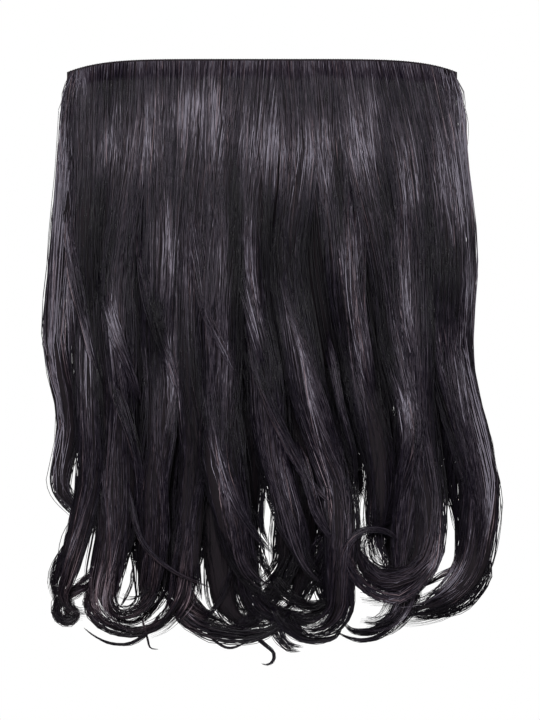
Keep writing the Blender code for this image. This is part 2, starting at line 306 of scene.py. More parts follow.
def ringWalls(first, rings, around):
    # Quads between the neighbouring rings of tubes whose points begin at first
    low = first + (np.arange(rings - 1) * around)[:, None]
    k = np.arange(around)
    nextK = (k + 1) % around
    quads = [low + k, low + nextK, low + around + nextK, low + around + k]
    return np.stack(quads, axis=-1).reshape(-1, 4)


def ringCap(first, around, atTip):
    # A fan of triangles over a ring whose points begin at first
    fan = np.arange(1, around - 1)
    pair = (fan, fan + 1) if atTip else (fan + 1, fan)
    cap = np.stack([0 * fan, *pair], axis=-1) + first
    return np.concatenate([cap, np.full_like(cap[..., :1], -1)], axis=-1).reshape(-1, 4)


# The browner ends: between two drops below the seam, and less on the right, from one X to another
brownPart = {"top": 300 * mm, "full": 380 * mm, "least": 0.3, "right": -10 * mm, "left": 60 * mm}


def tubes(name, centres, radius, sides, material, toneAndLight, slender):
    # Round sections of the given radius carried along each path: centre + radius * (cos a * across +
    # sin a * out), out being square to the path and nearest to Y. Both ends are capped.
    # Each tube has its own cell of the UV square, slender times as tall as it is wide.
    count, rings = centres.shape[:2]
    heading = np.gradient(centres, axis=1)
    heading /= np.linalg.norm(heading, axis=2, keepdims=True)
    out = np.zeros_like(heading)
    out[:, :, 1] = 1.0
    out -= heading * heading[:, :, 1:2]
    out /= np.linalg.norm(out, axis=2, keepdims=True)
    across = np.cross(out, heading)
    angle = math.tau * np.arange(sides) / sides
    ring = np.cos(angle)[:, None] * across[:, :, None, :] + np.sin(angle)[:, None] * out[:, :, None, :]
    points = centres[:, :, None, :] + radius[:, :, None, None] * ring

    first = (np.arange(count) * rings * sides)[:, None, None]
    faces = np.concatenate([ringWalls(first, rings, sides), ringCap(first, sides, False),
                            ringCap(first + (rings - 1) * sides, sides, True)])

    columns = math.ceil(math.sqrt(count * slender))
    rowsOfCells = math.ceil(count / columns)
    cellX = (np.arange(count) % columns)[:, None, None]
    cellY = (np.arange(count) // columns)[:, None, None]
    u = np.linspace(0.1, 0.9, sides + 1)[None, None, :]
    v = np.linspace(0.04, 0.96, rings)[None, :, None]
    left, right, low, high = u[..., :-1], u[..., 1:], v[:, :-1], v[:, 1:]
    shape = (count, rings - 1, sides)
    wallUv = np.stack([np.stack([np.broadcast_to((cellX + aside) / columns, shape),
                                 np.broadcast_to((cellY + up) / rowsOfCells, shape)], axis=-1)
                       for aside, up in ((left, low), (right, low), (right, high), (left, high))], axis=3)
    # The caps take a sliver at the middle of their cell's lower and upper edge
    corner = np.stack([(cellX[:, 0, 0] + 0.5) / columns, cellY[:, 0, 0] / rowsOfCells], axis=-1)
    capUv = np.repeat(corner[:, None, None, :], sides - 2, axis=1) + np.array(
        [(0.0, 0.0), (0.02 / columns, 0.0), (0.0, 0.01 / rowsOfCells), (0.0, 0.0)])[None, None]
    tipUv = capUv + np.array((0.0, 0.98 / rowsOfCells))
    uv = np.concatenate([part.reshape(-1, 4, 2) for part in (wallUv, capUv, tipUv)])

    steps = np.linalg.norm(np.diff(centres, axis=1), axis=2)
    run = np.concatenate([np.zeros((count, 1)), np.cumsum(steps, axis=1)], axis=1)
    run += np.arange(count)[:, None]
    toLeft = smoothStep(-centres[:, :, 0], brownPart["right"], brownPart["left"])
    ends = smoothStep(-centres[:, :, 2], brownPart["top"], brownPart["full"])
    ends *= brownPart["least"] + (1 - brownPart["least"]) * toLeft
    # The strand's tone, with its painted light and shade, goes to the colour
    attributes = {"toneAndLight": np.repeat(np.broadcast_to(toneAndLight, (count, rings)).ravel(), sides),
                  "ends": np.repeat(ends.ravel(), sides),  # 1 in the lowest curls on the left
                  "run": np.repeat(run.ravel(), sides)}  # metres along it, and one more for each tube
    return newMesh(name, points.reshape(-1, 3), faces, material, uv, attributes)


# Materials

def toLinear(code):
    # sRGB hex to linear: c / 12.92 under 0.04045, otherwise ((c + 0.055) / 1.055) ^ 2.4
    values = [int(code[i:i + 2], 16) / 255 for i in (1, 3, 5)]
    return [*(c / 12.92 if c < 0.04045 else ((c + 0.055) / 1.055) ** 2.4 for c in values), 1.0]


def addNode(tree, kind, settings=None, inputs=None, links=None):
    # A node with its settings, its socket values and its links from other nodes' outputs
    node = tree.nodes.new(kind)
    for key, value in (settings or {}).items():
        setattr(node, key, value)

    def socket(sockets, key):
        # By name the first enabled one, since a Mix node has a socket of each name for every type
        if isinstance(key, int):
            return sockets[key]
        return next(s for s in sockets if s.name == key and s.enabled)

    for key, value in (inputs or {}).items():
        socket(node.inputs, key).default_value = value
    for key, (source, output) in (links or {}).items():
        tree.links.new(socket(source.outputs, output), socket(node.inputs, key))
    return node


def newMaterial(name, finish):
    # A principled material whose own sockets take the values of finish
    made = bpy.data.materials.new(name)
    made.use_nodes = True
    shader = made.node_tree.nodes["Principled BSDF"]
    for key, value in finish.items():
        shader.inputs[key].default_value = value
    return made, made.node_tree, shader


def setRamp(node, stops):
    ramp = node.color_ramp
    while len(ramp.elements) < len(stops):
        ramp.elements.new(0.5)
    for element, (place, code) in zip(ramp.elements, stops):
        element.position = place
        element.color = toLinear(code)


def patternedMaterial(name, kind, settings, inputs, stops, finish, relief=None, grain=None):
    # One pattern on Object coordinates, stretched by grain, gives the colour between the stops, and
    # a relief of the given strength and height
    made, tree, shader = newMaterial(name, finish)
    place = (addNode(tree, "ShaderNodeTexCoord"), "Object")
    if grain:
        stretch = addNode(tree, "ShaderNodeMapping", inputs={"Scale": grain}, links={"Vector": place})
        place = (stretch, "Vector")
    pattern = addNode(tree, kind, settings, inputs, {"Vector": place})
    ramp = addNode(tree, "ShaderNodeValToRGB", links={"Fac": (pattern, "Fac")})
    setRamp(ramp, stops)
    tree.links.new(ramp.outputs["Color"], shader.inputs["Base Color"])
    if relief:
        bump = addNode(tree, "ShaderNodeBump", inputs={"Strength": relief[0], "Distance": relief[1]},
                       links={"Height": (pattern, "Fac")})
        tree.links.new(bump.outputs["Normal"], shader.inputs["Normal"])
    return made


fibre = {
    # sum of a strand's tone, painted light and shade included, and its painted glints, and the colour
    # there; the lightest stops colour the painted highlights
    "tones": ((0.42, "#060409"), (0.62, "#110c17"), (0.85, "#403a42"), (1.0, "#75717b")),
    "glint": 10 * mm,  # length of one painted glint, a bright or dark stretch of a fibre standing for its slight crimp catching light
    "glintShare": 0.46,  # how much of that is added to a strand's own tone
    "glintRange": (0.3, 0.7),  # the noise's range, over which a fibre goes from smooth to rough
    "warmth": ((0.56, "#ffffff"), (0.74, "#fbe3da")),
    "dyeRun": 300 * mm,  # some fibres took the dye browner, over a stretch
    "brownEnds": 0.22,  # how much more of them the curls show, above all on the left
    "ior": 1.55,  # dyed keratin and modacrylic fibre alike
    "specular": 0.14,
    "smooth": 0.27, "rough": 0.46,
    "groove": 0.8 * mm, "grooveLength": 45 * mm,  # of packed fibre
}


def dyedFibre():
    # Dyed dark-brown hair: smooth scaled fibre, near black face on, with a faint real gloss. Its soft
    # violet-grey highlights along the swells are painted into the colour. Each strand has a tone of its
    # own.
    finish = {"IOR": fibre["ior"], "Specular IOR Level": fibre["specular"]}
    made, tree, shader = newMaterial("dyedDarkFibrePaintedLight", finish)
    # Each strand's tone, which holds its painted light and shade
    toneAndLight = addNode(tree, "ShaderNodeAttribute", {"attribute_name": "toneAndLight"})
    run = addNode(tree, "ShaderNodeAttribute", {"attribute_name": "run"})
    ends = addNode(tree, "ShaderNodeAttribute", {"attribute_name": "ends"})

    def noiseAlong(length, detail):
        # Stretches of the given length along each strand
        place = addNode(tree, "ShaderNodeMath", {"operation": "DIVIDE"}, {1: length}, {0: (run, "Fac")})
        return addNode(tree, "ShaderNodeTexNoise", {"noise_dimensions": "1D"},
                       {"Scale": 1.0, "Detail": detail}, {"W": (place, "Value")})

    def addShare(share, part, whole):
        # part * share + whole
        return addNode(tree, "ShaderNodeMath", {"operation": "MULTIPLY_ADD"}, {1: share},
                       {0: (part, "Fac"), 2: (whole, "Fac")})

    # Painted glints: bright and dark stretches added to the colour; the same noise also makes the fibre
    # smoother or rougher
    glints = noiseAlong(fibre["glint"], 2.0)
    ramp = addNode(tree, "ShaderNodeValToRGB",
                   links={"Fac": (addShare(fibre["glintShare"], glints, toneAndLight), "Value")})
    setRamp(ramp, fibre["tones"])
    dye = noiseAlong(fibre["dyeRun"], 1.0)
    warmth = addNode(tree, "ShaderNodeValToRGB",
                     links={"Fac": (addShare(fibre["brownEnds"], ends, dye), "Value")})
    setRamp(warmth, fibre["warmth"])
    dyed = addNode(tree, "ShaderNodeMix", {"data_type": "RGBA", "blend_type": "MULTIPLY"}, {"Factor": 1.0},
                   {"A": (ramp, "Color"), "B": (warmth, "Color")})
    roughness = addNode(tree, "ShaderNodeMapRange", inputs={
        "From Min": fibre["glintRange"][0], "From Max": fibre["glintRange"][1],
        "To Min": fibre["smooth"], "To Max": fibre["rough"]}, links={"Value": (glints, "Fac")})
    tree.links.new(next(s for s in dyed.outputs if s.enabled), shader.inputs["Base Color"])
    tree.links.new(roughness.outputs["Result"], shader.inputs["Roughness"])
    return made


strandMaterial = dyedFibre()

# The same fibre inside a lock, packed close and in shade, with grooves between its bundles
underMaterial = patternedMaterial(
    "packedDarkFibre", "ShaderNodeTexNoise", {}, {"Scale": 1.0, "Detail": 2.0},
    ((0.35, "#060306"), (0.7, "#120a10")),
    {"Roughness": 0.8, "Specular IOR Level": 0.15, "IOR": fibre["ior"]}, relief=(0.6, 0.3 * mm),
    grain=(1 / fibre["groove"], 1 / fibre["groove"], 1 / fibre["grooveLength"]))

# Polyester thread stitched over folded fibre: matt, ribbed across the seam every 1.8 mm
ribPitch = 1.8 * mm
waveCycle = math.tau / 20  # width of one band of a Wave texture at a scale of 1
bandMaterial = patternedMaterial(
    "stitchedPolyesterBand", "ShaderNodeTexWave", {"bands_direction": "X"},
    {"Scale": waveCycle / ribPitch, "Distortion": 1.5, "Detail": 2.0},
    ((0.2, "#0a070a"), (0.9, "#1f181d")),
    {"Roughness": 0.8, "Specular IOR Level": 0.15}, relief=(0.7, 0.2 * mm))

# Twisted polyester sewing thread: a little brighter than the band, a twist about every 4.5 mm
threadMaterial = patternedMaterial(
    "twistedPolyesterThread", "ShaderNodeTexWave", {"bands_direction": "DIAGONAL"},
    {"Scale": 140.0, "Distortion": 0.5}, ((0.1, "#110c11"), (0.9, "#2b2329")),
    {"Roughness": 0.6, "Specular IOR Level": 0.2})
print("materials made")


def dress(piece, slotName, *nodes):
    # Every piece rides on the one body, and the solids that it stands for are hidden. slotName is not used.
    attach(piece, "root")
    if nodes:
        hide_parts(*nodes)


# Strands

strand = {
    "frontCount": 230, "backCount": 136,  # in each lock
    "valleyCount": 45,  # between two locks that lie this far apart
    "pitch": 24 * mm,
    "radius": 0.29 * mm,
    "fallRings": 11, "curlRings": 10, "wispRings": 14,
    "rootRing": 0.035,  # share of the length at which a strand has its first ring below the root
    "clumps": 18,
    "wander": 0.12,  # how far a clump strays in its lock, in half widths
    "looser": 1.8,  # how much more it strays in the curls
    "clumpSpread": 0.26,  # half width of a clump, in half widths of the lock
    "openTop": 1.9, "drawn": 0.7,  # times wider at its top, and how much less at its tip
    "frizz": 0.5 * mm,
    "sway": 2.4 * mm, "swayLength": 0.3,  # waves of a lock and its clumps in the lower half
    "plump": 1.02,  # width of the hair over that of the solid lock
    "edgePull": 0.7,  # share of its width to which most of an outermost lock is drawn in
    "edgeOut": 1.08,  # and to which the last few of its strands reach out
    "tipLow": 0.86,  # the shortest clump ends at this share of the lock
    "tipScatter": 0.035,
    "flare": 3 * mm, "flareFrom": 0.78,  # how far a clump's end leaves its lock, and from where
    "openEnd": 0.42,  # share of its width that a lock keeps at its end
    "curtain": 0.42,  # share of its length by which a lock has left the flat curtain
    "overlap": 0.30,  # how far a lock's top reaches over its neighbours
    "seamEnd": 0.995,  # share of half the track within which every root stays
    "spill": 40 * mm,  # how far past that the hair may spread below the seam
}


def ringSteps(line):
    # Shares of the length: evenly spaced rings in the fall, one more at the root, and closer ones in
    # the curl
    fall = np.linspace(0, line["curlStart"], strand["fallRings"], endpoint=False)
    return np.concatenate([fall[:1], [strand["rootRing"]], fall[1:],
                           np.linspace(line["curlStart"], 1, strand["curlRings"])])


def placeInLock(line, t, a, b, spread=0.0):
    # middle + across * a * halfWidth + out * b * halfDepth, the root following the seam. With spread,
    # the half width keeps openEnd of its size to the tip, and grows by overlap at the root.
    halfWidth = along(line, "halfWidth", t)
    least = line["halfWidth"][0] * strand["openEnd"]
    grow = strand["plump"] - 1 + strand["overlap"] * (1 - smoothStep(t, 0, strand["curtain"]))
    halfWidth = halfWidth + spread * (np.maximum(least - halfWidth, 0) + halfWidth * grow)
    x, z = beside(line, t, a * halfWidth)
    y = along(line, "y", t) + line["side"] * b * along(line, "halfDepth", t)
    sway = np.sin(math.tau * t / wave["length"] + line["phase"]) * smoothStep(t, *wave["grows"])
    most = halfTrack * strand["seamEnd"] + strand["spill"] * smoothStep(t, 0, 0.2)
    x = np.clip(x, -most, most)
    wanted = -seamDrop(x[:, :1]) - line["start"]
    z = z + (wanted - z[:, :1]) * (1 - smoothStep(t, 0, 0.1))
    return np.stack([x, y + wave["height"] * sway, z], axis=-1)


def wobble(rng, count, t, waves):
    # Sum of sines of share t with random phase and height, falling off as 1 / waves
    out = np.zeros_like(t)
    for n in waves:
        phase = rng.uniform(0, math.tau, (count, 1))
        size = rng.normal(0, 1, (count, 1)) / n
        out += size * np.sin(math.tau * n * t + phase)
    return out


# A strand's tone: a plain part, its own random part, then painted light and shade from the streaks, the
# upper hair and its depth in a lock
toning = {
    "plain": 0.305, "own": 0.05, "paintedLight": 0.44, "paintedDepthLight": 0.3,
    "takenUp": (0.1, 1.8),  # least and most of the painted light and shade that a strand takes up
    "aside": 1.2 * mm, "higher": 6 * mm,  # scatter of the place where it meets a streak
    # painted light on the upper hair, fading out between two drops below the seam
    "top": 0.12, "paintedTopFades": (60 * mm, 200 * mm),
    "seam": 1.9, "paintedSeamFades": (4 * mm, 11 * mm),  # times the top's painted light, close to the seam
}


def strandToneAndLight(rng, places, own, paintedDepthLight=0.0):
    # A strand's own tone plus the painted highlights and shade of the streaks that it passes, which each
    # strand meets a little aside, higher or lower, and takes up more or less of. Painted light on the upper
    # hair and painted light and shade by depth in a lock are added too
    count = len(places)
    x = places[:, :, 0] + rng.normal(0, toning["aside"], (count, 1))
    drop = -places[:, :, 2] + rng.normal(0, toning["higher"], (count, 1))
    paintedLight = paintedStreakLight(x, drop) * rng.uniform(*toning["takenUp"], (count, 1))
    # Painted light on the upper hair, stronger close to the seam
    top = 1 - smoothStep(drop, *toning["paintedTopFades"])
    top = top + toning["seam"] * (1 - smoothStep(drop, *toning["paintedSeamFades"]))
    return np.clip(toning["plain"] + toning["own"] * own + toning["paintedLight"] * paintedLight + toning["top"] * top
                   + toning["paintedDepthLight"] * paintedDepthLight, 0, 1)


def lockStrands(line, count, rng):
    # Clumps are set round the lock's outer side, at an even angle apart, and stray slowly. A strand
    # keeps its place in its clump, which draws together towards its tip and leaves the lock there.
    steps = ringSteps(line)
    clumps = strand["clumps"]
    clump = rng.integers(0, clumps, count)

    def ofClump(values):
        # From one value for each clump to one for each strand, in a column
        return values[clump][:, None]

    clumpTip = rng.uniform(strand["tipLow"], 1.0, clumps)
    tip = np.clip(clumpTip[clump] + rng.normal(0, strand["tipScatter"], count), 0.7, 1.0)[:, None]
    t = steps[None, :] * tip
    order = rng.permutation(clumps)
    inner = -25 if line["side"] < 0 else -90  # the back locks show between the front ones
    clumpAngle = np.radians(inner + (180 - 2 * inner) * (order + 0.5) / clumps)
    clumpReach = np.sqrt(rng.uniform(0.25, 1.0, clumps))
    every = np.tile(steps, (clumps, 1))
    strayA = wobble(rng, clumps, every, (1, 2, 3))[clump]
    strayB = wobble(rng, clumps, every, (1, 2, 3))[clump]
    wander = strand["wander"] * (1 + strand["looser"] * smoothStep(t, 0.35, 0.8))
    angle = rng.uniform(0, math.tau, (count, 1))
    reach = np.sqrt(rng.uniform(0, 1, (count, 1))) * strand["clumpSpread"]
    reach = reach * (strand["openTop"] - strand["drawn"] * smoothStep(t, 0.35, 1.0))
    a = ofClump(np.cos(clumpAngle) * clumpReach) + wander * strayA + np.cos(angle) * reach
    b = ofClump(np.sin(clumpAngle) * clumpReach) + wander * strayB + np.sin(angle) * reach
    # All stay within the lock but a few of the inner locks' strands, which fly away
    stray = 1.04 + 0.3 * rng.uniform(0, 1, (count, 1)) ** 30 * smoothStep(t, 0.2, 0.5) * (line["edge"] == 0)
    size = np.maximum(np.sqrt(a * a + b * b) / stray, 1.0)
    a, b = a / size, b / size
    thin = rng.uniform(0, 1, (count, 1)) ** 2  # the weft's two sides thin out
    pulled = strand["edgePull"] + (strand["edgeOut"] - strand["edgePull"]) * thin
    a = np.where(a * line["edge"] > 0, a * pulled, a)
    flat = 1 - smoothStep(t, 0.04, strand["curtain"])
    a = a * (1 - flat) + rng.uniform(-1, 1, (count, 1)) * flat * 0.55 + a * flat * 0.45
    b = b * (1 - flat) + rng.uniform(0.1, 0.95, (count, 1)) * flat
    places = placeInLock(line, t, a, b, 1.0)
    lower = smoothStep(t, 0.25, 0.6) * (1 - 0.7 * abs(line["edge"]))
    swayPhase = line["phase"] * 1.7 + ofClump(rng.normal(0, 0.8, clumps))
    places[:, :, 0] += strand["sway"] * lower * np.sin(math.tau * t / strand["swayLength"] + swayPhase)
    leave = smoothStep(t, strand["flareFrom"], 1.0) * strand["flare"]
    places[:, :, 0] += ofClump(rng.normal(0, 0.8, clumps)) * leave
    places[:, :, 1] += line["side"] * ofClump(rng.uniform(-0.6, 0.8, clumps)) * leave
    places[:, :, 2] += ofClump(rng.normal(0.1, 0.7, clumps)) * leave
    frizz = strand["frizz"] * 2 * smoothStep(t, 0.02, 0.5)
    places[:, :, 0] += frizz * wobble(rng, count, t, (3, 5))
    places[:, :, 1] += frizz * wobble(rng, count, t, (3, 5))
    own = rng.normal(size=(count, 1)) + 0.7 * ofClump(rng.normal(size=clumps))
    facing = np.abs(b) if line["edge"] else b  # the outermost locks are seen from both sides
    # Painted light and shade: the strands on a lock's outer side lighter, its deeper and side ones darker
    paintedDepthLight = (facing - 0.55) * smoothStep(t, 0.1, 0.5)
    return places, strandToneAndLight(rng, places, own, paintedDepthLight)


def valleyStrands(lineA, lineB, rng):
    # Strands between two locks: a blend of the two middle lines, which moves over to one lock by
    # the curl, and from the curtain's depth out to that lock.
    apart = along(lineB, "x", 0.55) - along(lineA, "x", 0.55)
    count = int(strand["valleyCount"] * apart / strand["pitch"])
    steps = (ringSteps(lineA) + ringSteps(lineB)) / 2
    t = steps[None, :] * rng.uniform(0.82, 1.0, (count, 1))
    share = rng.uniform(0.0, 1.0, (count, 1))
    goal = (share > 0.5).astype(float)
    leave = smoothStep(t, 0.55, 0.95)
    mix = share * (1 - leave) + goal * leave
    a = rng.uniform(-0.9, 0.9, (count, 1)) * leave
    b = rng.uniform(-0.8, 0.6, (count, 1))
    first = placeInLock(lineA, t, a, b, 1.0)
    second = placeInLock(lineB, t, a, b, 1.0)
    places = first * (1 - mix[:, :, None]) + second * mix[:, :, None]
    places[:, :, 0] += strand["frizz"] * wobble(rng, count, t, (2, 4)) * 2 * smoothStep(t, 0, 0.3)
    own = rng.normal(size=(count, 1))
    # Painted shade: the strands between locks darker, the deeper the darker
    paintedDepthLight = (b - 1.2) * smoothStep(t, 0.1, 0.5)
    return places, strandToneAndLight(rng, places, own, paintedDepthLight)


def strandRadius(count, rings, rng):
    # Full in the middle, a little finer at the root, drawn out to a point at the tip
    t = np.linspace(0, 1, rings)
    shape = (0.8 + 0.2 * smoothStep(t, 0, 0.2)) * (1 - 0.75 * smoothStep(t, 0.7, 1.0))
    return strand["radius"] * shape[None, :] * rng.uniform(0.75, 1.2, (count, 1))


def makeStrands(name, groups, rng):
    # One piece of all the strands in the groups, each a three-sided tube
    places, toneAndLight = (np.concatenate(part) for part in zip(*groups))
    radius = strandRadius(len(places), places.shape[1], rng)
    dress(tubes(name, places, radius, 3, strandMaterial, toneAndLight, 4), "hair")
    print(name, len(places), "strands")


def makeRow(rowName, lines, perLock, seed):
    # Each piece holds two or three neighbouring locks and the strands that follow each of them
    rng = np.random.default_rng(seed)
    for first in range(0, len(lines), 3):
        groups = []
        for i in range(first, min(first + 3, len(lines))):
            groups.append(lockStrands(lines[i], int(perLock * lines[i]["share"]), rng))
            if i + 1 < len(lines):
                groups.append(valleyStrands(lines[i], lines[i + 1], rng))
        makeStrands(f"{rowName}_strands_{first // 3 + 1}", groups, rng)


# Small locks and wisps that leave the curls, or fill the mass between them: strands, half width,
# depth behind the seam, and X and drop below the seam of each point that they pass, in millimetres
wispRows = (
    ("ballTip", 90, 4.2, -4, (-122, 370, -137, 377, -144, 385, -141, 393, -133, 394, -130, 388, -135, 384,
     -138, 389)),
    ("ballHeart", 40, 4.5, -4, (-138, 378, -136, 384, -136, 389, -139, 394)),
    ("leftBand", 90, 4.6, -6, (-119, 302, -126, 323, -139, 349, -146, 367, -144, 384)),
    ("tailLoop", 26, 1.2, -6, (-71, 388, -80, 402, -92, 410, -106, 410, -117, 405, -126, 398)),
    ("hairLoop", 8, 0.7, -7, (-84, 392, -80, 407, -78, 413, -71, 414)),
    ("bottomEdge", 120, 5.5, -5, (-66, 379, -50, 395, -28, 404, -7, 405, 10, 399, 21, 386)),
    ("bottomFill", 150, 9.0, 2, (-16, 300, -13, 330, -11, 358, -3, 381, 17, 393, 39, 391, 53, 377)),
    ("crossFill", 110, 7.0, 6, (29, 337, 17, 360, 4, 381, -13, 398, -34, 403)),
    ("leftFill", 100, 6.5, 6, (-77, 343, -64, 368, -46, 388, -21, 400)),
    ("underLoop", 14, 0.9, -6, (-41, 397, -34, 407, -24, 413, -15, 411, -7, 405)),
    ("hookWisp", 26, 1.6, -6, (-15, 398, -5, 405, 2, 411, 8, 416, 8, 422, 4, 425, -1, 424)),
    ("tuftOne", 26, 3.0, -5, (10, 390, 13, 402, 18, 410, 29, 413)),
    ("tuftTwo", 22, 3.0, -3, (6, 392, 10, 405, 18, 414, 27, 416)),
    ("rightLoop", 60, 2.6, -6, (7, 384, 15, 398, 27, 406, 41, 408, 52, 405, 57, 396)),
    ("lowerLoop", 40, 2.0, -3, (102, 382, 94, 395, 83, 405, 70, 408, 60, 406, 52, 402)),
    ("lowerBand", 70, 3.6, 2, (111, 377, 99, 384, 91, 393, 78, 402, 64, 402, 57, 396)),
    ("rightFill", 110, 7.0, 5, (48, 337, 42, 362, 48, 382, 60, 392)),
    ("valleyFill", 130, 8.0, 1, (55, 99, 57, 169, 58, 225, 61, 267, 68, 299, 79, 317)),
    ("leftSeam", 40, 4.0, 0, (-134, 140, -134, 190, -133, 230)),
    ("splitHairs", 14, 2.0, -8, (45, 239, 53, 267, 59, 283, 69, 288, 77, 283)),
    ("valleyFillRight", 80, 5.0, 3, (123, 155, 127, 225, 130, 270, 133, 312)),
    ("loopBand", 90, 4.4, -3, (-110, 345, -114, 365, -121, 383, -110, 397, -86, 402, -67, 393, -52, 377)),
    ("rightEdge", 110, 3.2, 0, (135, 12, 139, 26, 141, 43, 141, 64, 144, 92, 147, 120, 148, 148, 146, 180,
     146, 211, 150, 236, 157, 258, 162, 278, 163, 305, 160, 335)),
    ("leftEdge", 80, 3.2, 0, (-136, 13, -138, 29, -138, 50, -141, 80, -143, 110, -145, 140, -147, 176,
     -148, 200, -146, 222, -141, 243, -138, 260)),
    ("gapFill", 90, 8.0, 3, (48, 330, 39, 357, 30, 376, 25, 388)),
    ("gapEdge", 40, 3.0, 2, (-1, 278, 0, 302, -1, 327, 6, 343)),
    ("loopFill", 40, 4.0, 4, (-50, 313, -47, 348, -43, 381)),
    ("leftGapFill", 30, 4.0, 4, (-90, 320, -91, 344, -87, 361)),
    ("crossBand", 40, 5.0, 2, (-59, 351, -71, 377, -83, 396)),
    ("middleFill", 60, 5.0, 0, (7, 362, 20, 378, 35, 384, 52, 378)),
    ("tuftFill", 30, 3.0, -2, (18, 388, 24, 399, 34, 405)),
    ("seamEndLeft", 60, 5, -3, (-132, 8.6, -135, 25, -138, 60, -140, 110)),
    ("seamNearLeft", 60, 5.5, -3, (-126, 6.6, -129, 25, -131, 60, -133, 110)),
    ("seamEndRight", 60, 5, -3, (132, 8.6, 136, 25, 139, 60, 142, 110)),
    ("seamNearRight", 60, 5.5, -3, (126, 6.6, 129, 25, 132, 60, 134, 110)),
    ("slitFill", 50, 5.0, 5, (50, 215, 53, 240, 60, 272, 66, 310)),
    ("brownCross", 44, 3.6, -6, (-90, 341, -101, 349, -112, 360, -119, 372, -126, 384)),
    ("gapHairs", 7, 1.6, -5, (-90, 356, -91, 367, -95, 378, -102, 388)),
    ("leftGapHairs", 9, 1.6, -4, (-116, 361, -125, 365, -132, 372, -137, 381)),
    ("slitLeft", 30, 2.6, 3, (-43, 320, -42, 337, -43, 351, -46, 362)),
    ("curtainLow", 30, 2.6, 2, (-21, 351, -25, 369, -32, 384, -43, 395)),
    ("tipHairs", 20, 2.4, -5, (125, 372, 113, 384, 102, 389, 97, 388)),
)

# More of them: hair that closes the valleys left and right of the two rightmost locks but for their
# lowest parts, and the ends of the curls there
edgeRows = (
    ("gapRight", 60, 4.6, 3, (131, 253, 132, 276, 132, 298, 136, 318, 142, 344)),
    ("gapLeft", 40, 3.8, 3, (127, 253, 128, 278, 127, 301, 122, 322, 118, 344)),
    ("gapFloor", 24, 2.4, -2, (146, 341, 137, 356, 126, 363, 113, 370, 102, 372)),
    ("rightCurlEnd", 34, 3.8, 1, (160, 351, 156, 368, 146, 381, 132, 388, 116, 392, 99, 390)),
    ("ringFill", 40, 4.0, 5, (62, 330, 64, 343, 73, 354, 85, 361)),
    ("middleSlit", 30, 3.0, 4, (-3, 337, 1, 353, 7, 368)),
    ("slitRight", 36, 3.4, 4, (85, 187, 86, 215, 90, 243, 92, 267)),
    ("slitTop", 60, 5.5, 2, (55, 215, 60, 240, 65, 268, 69, 312)),
    ("slitCap", 40, 5.0, 1, (64, 254, 67, 278, 70, 308)),
)

# Waves that sweep over the front locks, painted lighter as highlights: strands, half width, and X and drop
# of each point
waveRows = (
    ("farLeft", 45, 5, (-137, 106, -132, 141, -125, 176, -118, 208, -109, 239)),
    ("left", 45, 5, (-115, 145, -108, 173, -99, 201, -90, 225, -84, 245)),
    ("leftLow", 45, 5, (-105, 215, -99, 239, -90, 267, -85, 295, -87, 323)),
    ("leftMiddle", 55, 6, (-87, 117, -78, 159, -71, 194, -62, 222, -55, 246)),
    ("middle", 55, 6, (-49, 103, -44, 141, -38, 176, -24, 208, -13, 236)),
    ("middleThin", 35, 4, (-23, 117, -15, 152, -8, 180, -1, 208, 7, 236)),
    ("middleLow", 60, 5.5, (-39, 218, -36, 246, -31, 274, -22, 302, -7, 330, 9, 348)),
    ("crossing", 50, 4.5, (-12, 183, -5, 211, 4, 239, 17, 267, 32, 295, 53, 316)),
    ("long", 50, 4.5, (13, 141, 20, 173, 29, 201, 38, 229, 48, 260, 55, 288)),
    ("longLow", 40, 4, (24, 267, 31, 295, 39, 320, 55, 344)),
    ("thin", 35, 4, (45, 190, 50, 218, 56, 246, 63, 274, 66, 302)),
    ("broad", 85, 8.5, (63, 85, 65, 127, 66, 169, 71, 201, 76, 229, 81, 250)),
    ("broadRight", 80, 8, (98, 92, 98, 134, 99, 173, 104, 201, 110, 225, 113, 246)),
    ("broadLow", 55, 7, (99, 222, 102, 243, 104, 267, 99, 292, 94, 316)),
    ("farRight", 60, 7, (129, 183, 134, 218, 140, 253, 148, 288, 153, 323, 147, 351)),
    ("ring", 70, 4.6, (118, 288, 122, 323, 118, 355, 94, 377, 70, 368, 59, 349, 64, 334, 78, 328, 91, 335)),
    ("ringTop", 46, 2.6, (57, 370, 56, 356, 59, 342, 67, 332, 78, 329, 90, 332, 98, 342)),
    ("leftCrossing", 30, 1.8, (-94, 295, -84, 337, -64, 357, -34, 371)),
)


def wispStrands(count, halfWidth, depth, points, rng, shine):
    # line + across * a * wide, and 0.8 * b * wide in depth, with a and b in the unit circle, and wide
    # the half width, drawn in to 0.3 at the root and narrowed by 1 - 0.8 t^3 to the tip
    steps = np.linspace(0, 1, strand["wispRings"])
    line = middleLine(np.reshape(points, (-1, 2)) * (mm, -mm))
    begin = rng.uniform(0, 1, (count, 1)) * min(0.2, 0.08 + 0.1 * shine)
    t = begin + (rng.uniform(0.86, 1.0, (count, 1)) - begin) * steps[None, :]
    wide = halfWidth * (0.3 + 0.7 * smoothStep(t, 0, 0.18)) * (1 - 0.8 * t ** 3)
    angle = rng.uniform(0, math.tau, (count, 1))
    reach = np.sqrt(rng.uniform(0, 1, (count, 1)))
    a = np.cos(angle) * reach + 0.25 * wobble(rng, count, t, (1, 2))
    b = np.sin(angle) * reach + 0.25 * wobble(rng, count, t, (1, 2))
    x, z = beside(line, t, a * wide)
    places = np.stack([x, depth + b * wide * 0.8, z], axis=-1)
    # shine lifts a strand's tone: a painted highlight on the waves; below zero for the wisps, a little
    # darker
    return places, strandToneAndLight(rng, places, rng.normal(size=(count, 1)) + shine)


